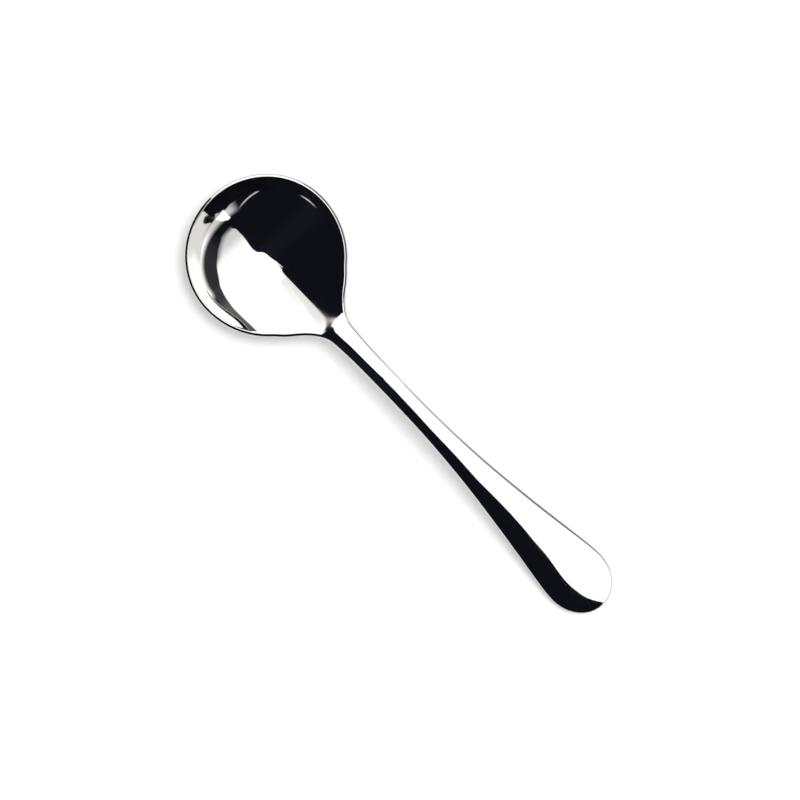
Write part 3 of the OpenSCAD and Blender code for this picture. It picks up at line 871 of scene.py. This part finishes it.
def hang_tent(studio):
    """The light tent, a long round shell about the spoon."""
    deselect()
    stretch = studio.tent_reach / studio.tent_radius
    bpy.ops.mesh.primitive_uv_sphere_add(
        segments=TENT_SEGMENTS, ring_count=TENT_RINGS, radius=studio.tent_radius, scale=(stretch, 1, 1))
    tent = bpy.context.object
    bpy.ops.object.transform_apply(scale=True)
    tent.name = "light_tent"
    tent.data.materials.append(tent_cloth(studio.dark_cloth_colour))
    bpy.ops.object.shade_smooth()
    return tent


def hang_card(studio):
    """The white card over the handle."""
    card = press_sheet("white_card", card_sheet(studio.card_height))
    card.data.materials.append(white_card())
    return card


def set_lamp(studio):
    """A soft lamp on the bright side, turned to the spoon. The steel doesn't show it."""
    deselect()
    bpy.ops.object.light_add(type="AREA", location=(0, studio.lamp_offset, studio.lamp_height))
    lamp = bpy.context.object
    lamp.name = "soft_lamp"
    lamp.data.shape = "DISK"
    lamp.data.size = studio.lamp_diameter
    lamp.data.energy = studio.lamp_power
    lamp.visible_glossy = False
    lamp.rotation_euler = (-math.atan2(studio.lamp_offset, studio.lamp_height), 0, 0)


def set_camera(scene, studio):
    """The camera, straight above the spoon, with the photo's frame."""
    deselect()
    bpy.ops.object.camera_add(
        location=(*FRAME_MIDDLE, studio.camera_height), rotation=(0, 0, math.radians(SPOON_TURN)))
    camera = bpy.context.object
    scene.camera = camera
    camera.data.sensor_width = SENSOR_WIDTH
    camera.data.lens = SENSOR_WIDTH / (PHOTO_WIDTH * PIXEL_SIZE) * (studio.camera_height - PIXEL_LEVEL)
    scene.view_settings.view_transform = "Standard"


class SPOON_OT_spoon(bpy.types.Operator):
    """Press the spoon from its sheets, weld them and polish it"""

    bl_idname = "spoon.press_spoon"
    bl_label = "Spoon"

    def execute(self, context):
        # No primitive or edit operator gives a crowned hollow that runs over a ridge into a neck, so
        # each side of the spoon is a grid that is pressed to its surface.
        sizes = context.scene.spoon_sizes
        form = SpoonForm(sizes)
        middle = [sizes.overall_length / 2, 0, 0]
        names = ("hollow", "rim_edge", "bowl_back", "handle_skin")
        sheets = [
            press_sheet(name, points - middle)
            for name, points in zip(names, (*bowl_sheets(form), handle_sheet(form)))]
        spoon = weld(sheets, "spoon")
        bpy.ops.object.shade_smooth_by_angle(angle=math.radians(SMOOTH_ANGLE))
        spoon.data.materials.clear()
        spoon.data.materials.append(polished_steel(sizes.steel_colour))
        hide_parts("bowl", "handle")
        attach(spoon, BODY)
        return {"FINISHED"}


class SPOON_OT_stage(bpy.types.Operator):
    """Lay the floor and set up the light tent, the card, the lamp and the camera"""

    bl_idname = "spoon.set_stage"
    bl_label = "Stage"

    def execute(self, context):
        scene = context.scene
        studio = scene.studio_sizes
        floor = lay_floor(studio)
        tent = hang_tent(studio)
        card = hang_card(studio)
        for cloth in (tent, card):
            cloth.visible_camera = False
            cloth.visible_diffuse = False
            cloth.visible_shadow = False
        hang_backdrop(scene)
        set_lamp(studio)
        set_camera(scene, studio)
        return {"FINISHED"}


class SPOON_PT_panel(bpy.types.Panel):
    """Lists the buttons and the sizes of the spoon and its studio"""

    bl_idname = "SPOON_PT_panel"
    bl_label = "Soup Spoon"
    bl_space_type = "VIEW_3D"
    bl_region_type = "UI"
    bl_category = "Spoon"

    def draw(self, context):
        layout = self.layout
        for operator in (SPOON_OT_spoon, SPOON_OT_stage):
            layout.operator(operator.bl_idname)
        for group in (context.scene.spoon_sizes, context.scene.studio_sizes):
            for name in group.__annotations__:
                layout.prop(group, name)


CLASSES = (SpoonSizes, StudioSizes, SPOON_OT_spoon, SPOON_OT_stage, SPOON_PT_panel)


def register():
    """Registers the classes and hangs the sizes on the scene."""
    for cls in CLASSES:
        bpy.utils.register_class(cls)
    bpy.types.Scene.spoon_sizes = bpy.props.PointerProperty(type=SpoonSizes)
    bpy.types.Scene.studio_sizes = bpy.props.PointerProperty(type=StudioSizes)


def unregister():
    """Takes the sizes off the scene and unregisters the classes."""
    del bpy.types.Scene.spoon_sizes
    del bpy.types.Scene.studio_sizes
    for cls in reversed(CLASSES):
        bpy.utils.unregister_class(cls)


def main():
    """Makes the spoon and its studio."""
    register()
    bpy.ops.spoon.press_spoon()
    bpy.ops.spoon.set_stage()


if __name__ == "__main__":
    main()
